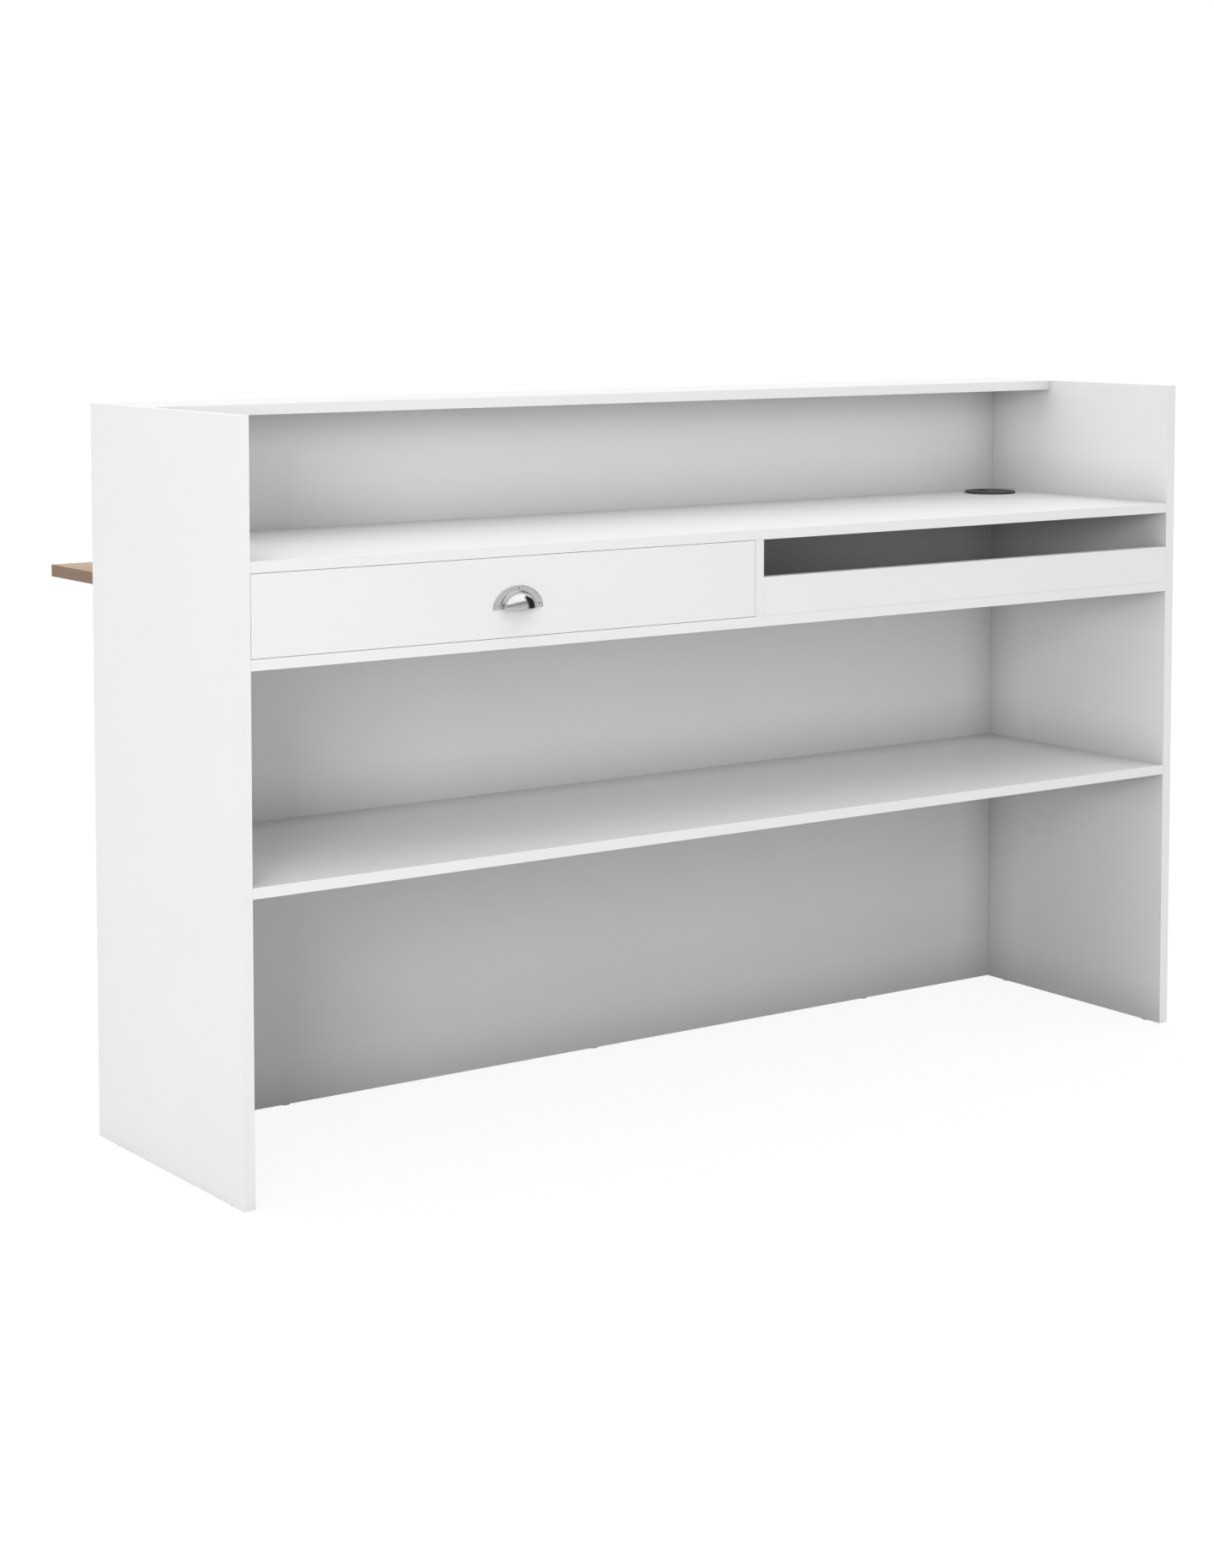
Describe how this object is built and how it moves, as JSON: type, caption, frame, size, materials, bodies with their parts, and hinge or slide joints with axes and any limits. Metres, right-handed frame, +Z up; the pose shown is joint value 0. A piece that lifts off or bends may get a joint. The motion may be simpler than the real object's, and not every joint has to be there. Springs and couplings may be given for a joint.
{
  "type": "checkout counter",
  "caption": "White board checkout counter with a raised narrow top, worktop, wide drawer with cup pull, open compartment, full-depth shelf and a wooden customer ledge.",
  "frame": {"origin": "on the floor, under the middle of the whole counter's box, ledge and pull included", "axes": "+X to the cashier's right along the counter, +Y from the cashier to the customer, +Z up"},
  "size_m": [1.8, 0.613, 1.1],
  "materials": {
    "white_melamine": "matte white melamine on particle board",
    "oak": "brown oak grain, satin",
    "hardboard": "white-faced hardboard",
    "white_steel": "white powder coat",
    "zinc_steel": "bright zinc plate",
    "zinc_alloy": "die-cast, plain",
    "bearing_steel": "ground and polished",
    "beech": "fluted beech, raw",
    "white_plastic": "moulded, fine texture",
    "charcoal_plastic": "moulded, fine texture",
    "chrome": "polished plate"
  },
  "bodies": {
    "carcass": {"left_side_panel": "white_melamine", "right_side_panel": "white_melamine", "customer_panel": "white_melamine", "top_shelf": "white_melamine", "worktop": "white_melamine", "box_floor": "white_melamine", "box_divider": "white_melamine", "compartment_fascia": "white_melamine", "middle_shelf": "white_melamine", "wood_ledge": "oak", "ledge_brackets": "white_steel", "ledge_bracket_screws": "zinc_steel", "ledge_screws": "zinc_steel", "cam_locks": "zinc_alloy", "cam_bolts": "zinc_steel", "cam_covers": "white_plastic", "wood_dowels": "beech", "floor_glides": "white_plastic", "grommet_ring": "charcoal_plastic", "left_slide_outer": "zinc_steel", "right_slide_outer": "zinc_steel", "slide_cabinet_screws": "zinc_steel"},
    "grommet_cap": {"grommet_cap": "charcoal_plastic"},
    "drawer": {"drawer_front": "white_melamine", "drawer_left_side": "white_melamine", "drawer_right_side": "white_melamine", "drawer_back": "white_melamine", "drawer_bottom": "hardboard", "drawer_brace": "white_melamine", "drawer_cam_locks": "zinc_alloy", "drawer_cam_bolts": "zinc_steel", "drawer_dowels": "beech", "drawer_back_screws": "zinc_steel", "drawer_pull": "chrome", "drawer_pull_screws": "chrome", "left_slide_inner": "zinc_steel", "right_slide_inner": "zinc_steel", "slide_drawer_screws": "zinc_steel"},
    "left_middle_member": {"left_slide_middle": "zinc_steel"},
    "left_outer_cage": {"left_slide_outer_cage": "zinc_steel", "left_slide_outer_balls": "bearing_steel"},
    "left_inner_cage": {"left_slide_inner_cage": "zinc_steel", "left_slide_inner_balls": "bearing_steel"},
    "right_middle_member": {"right_slide_middle": "zinc_steel"},
    "right_outer_cage": {"right_slide_outer_cage": "zinc_steel", "right_slide_outer_balls": "bearing_steel"},
    "right_inner_cage": {"right_slide_inner_cage": "zinc_steel", "right_slide_inner_balls": "bearing_steel"}
  },
  "joints": [
    {"name": "drawer_slide", "type": "slide", "parent": "carcass", "child": "drawer", "axis": [0, -1, 0], "range_m": [0, 0.4]},
    {"name": "grommet_cap_turn", "type": "hinge", "parent": "carcass", "child": "grommet_cap", "pos_m": [0.802, 0.0665, 0.9], "axis": [0, 0, 1], "continuous": true},
    {"name": "left_middle_member_slide", "type": "slide", "parent": "carcass", "child": "left_middle_member", "axis": [0, -1, 0], "range_m": [0, 0.2]},
    {"name": "left_outer_cage_slide", "type": "slide", "parent": "carcass", "child": "left_outer_cage", "axis": [0, -1, 0], "range_m": [0, 0.1]},
    {"name": "left_inner_cage_slide", "type": "slide", "parent": "carcass", "child": "left_inner_cage", "axis": [0, -1, 0], "range_m": [0, 0.3]},
    {"name": "right_middle_member_slide", "type": "slide", "parent": "carcass", "child": "right_middle_member", "axis": [0, -1, 0], "range_m": [0, 0.2]},
    {"name": "right_outer_cage_slide", "type": "slide", "parent": "carcass", "child": "right_outer_cage", "axis": [0, -1, 0], "range_m": [0, 0.1]},
    {"name": "right_inner_cage_slide", "type": "slide", "parent": "carcass", "child": "right_inner_cage", "axis": [0, -1, 0], "range_m": [0, 0.3]}
  ],
  "couplings": [
    {"joint": "left_middle_member_slide", "follows": "drawer_slide", "ratio": 0.5},
    {"joint": "left_outer_cage_slide", "follows": "drawer_slide", "ratio": 0.25},
    {"joint": "left_inner_cage_slide", "follows": "drawer_slide", "ratio": 0.75},
    {"joint": "right_middle_member_slide", "follows": "drawer_slide", "ratio": 0.5},
    {"joint": "right_outer_cage_slide", "follows": "drawer_slide", "ratio": 0.25},
    {"joint": "right_inner_cage_slide", "follows": "drawer_slide", "ratio": 0.75}
  ]
}
